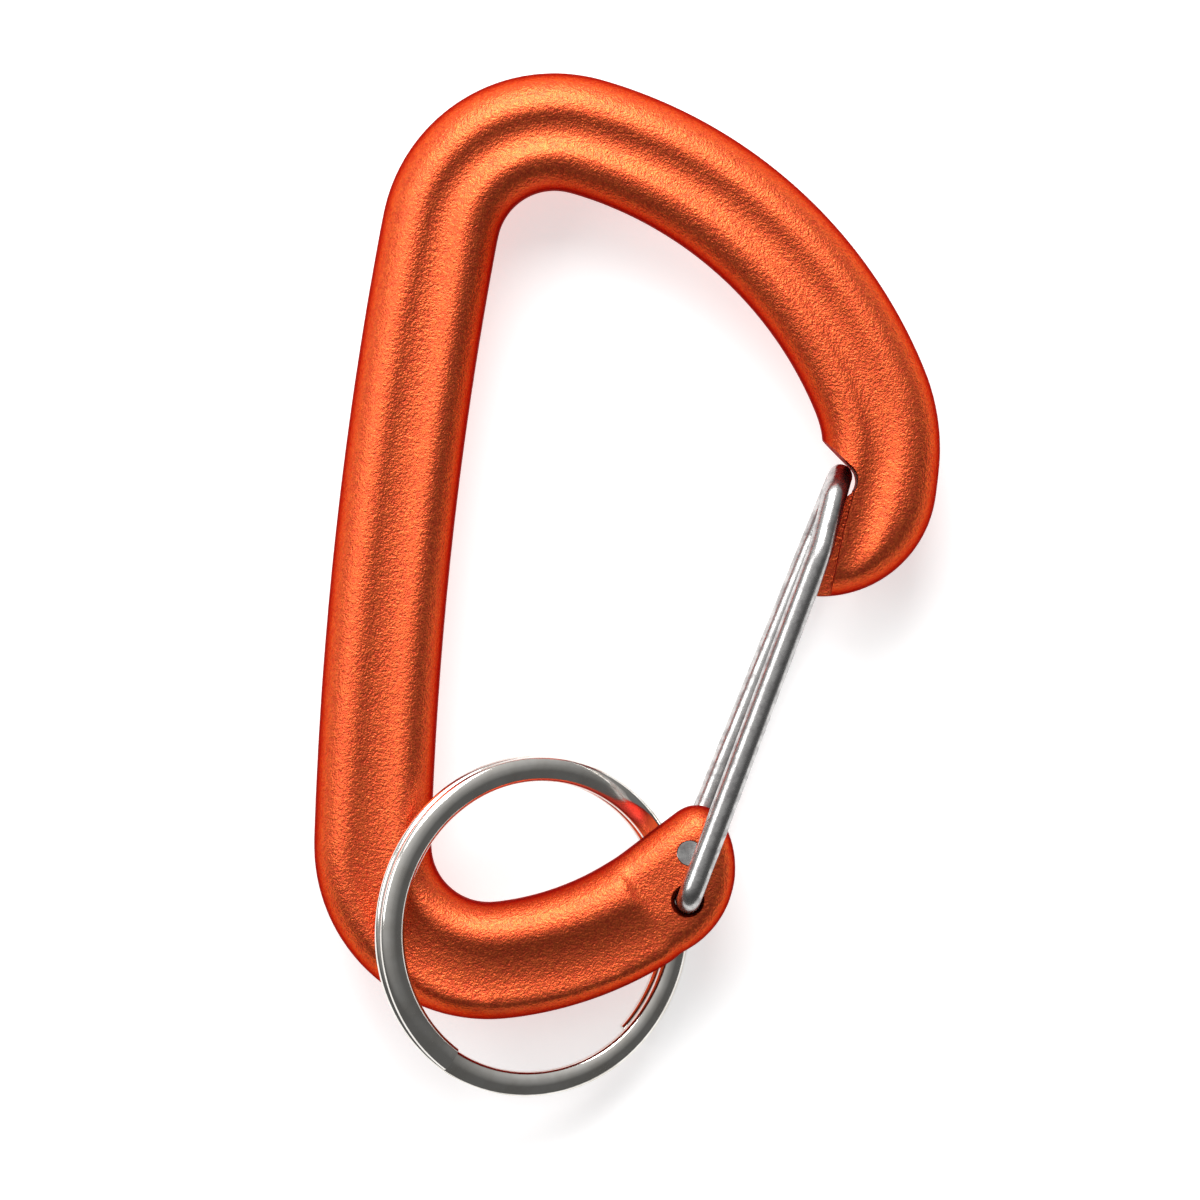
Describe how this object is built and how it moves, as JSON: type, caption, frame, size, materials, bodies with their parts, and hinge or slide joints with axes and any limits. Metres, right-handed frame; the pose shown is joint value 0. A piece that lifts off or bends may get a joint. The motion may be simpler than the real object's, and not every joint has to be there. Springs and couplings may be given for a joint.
{
  "type": "accessory carabiner",
  "caption": "Small wire-gate accessory carabiner with a forged D-shaped body and a split ring on its lower bow.",
  "frame": {"origin": "middle of the overall length and width, at the lowest point of the split ring", "axes": "+X from the spine towards the gate, +Y from the hinge end towards the wide bow, +Z out of the front face, on which the gate's lower pivot takes the front leg"},
  "size_m": [0.0434, 0.075, 0.0126],
  "materials": {
    "body": "satin, bead blasted and anodised orange",
    "gate": "drawn stainless wire, semi-bright",
    "ring": "nickel plated, bright"
  },
  "bodies": {
    "frame": {"body": "body"},
    "gate_front": {"gate_front_leg": "gate"},
    "gate_back": {"gate_back_leg": "gate"},
    "ring": {"split_ring": "ring"}
  },
  "joints": [
    {"name": "gate_front_hinge", "type": "hinge", "parent": "frame", "child": "gate_front", "pos_m": [0.00715, -0.0217, 0.00624], "axis": [0, 0, 1], "range_deg": [0, 38], "stiffness_Nm_per_rad": 0.1, "springref_deg": -28.65},
    {"name": "gate_back_hinge", "type": "hinge", "parent": "frame", "child": "gate_back", "pos_m": [0.00685, -0.0182, 0.00624], "axis": [0, 0, 1], "range_deg": [0, 42.5]},
    {"name": "ring_swing", "type": "hinge", "parent": "frame", "child": "ring", "pos_m": [-0.00385, -0.02501, 0.00628], "axis": [0, 1, 0], "range_deg": [0, 120]}
  ],
  "couplings": [
    {"joint": "gate_back_hinge", "follows": "gate_front_hinge", "ratio": 1.1129}
  ]
}
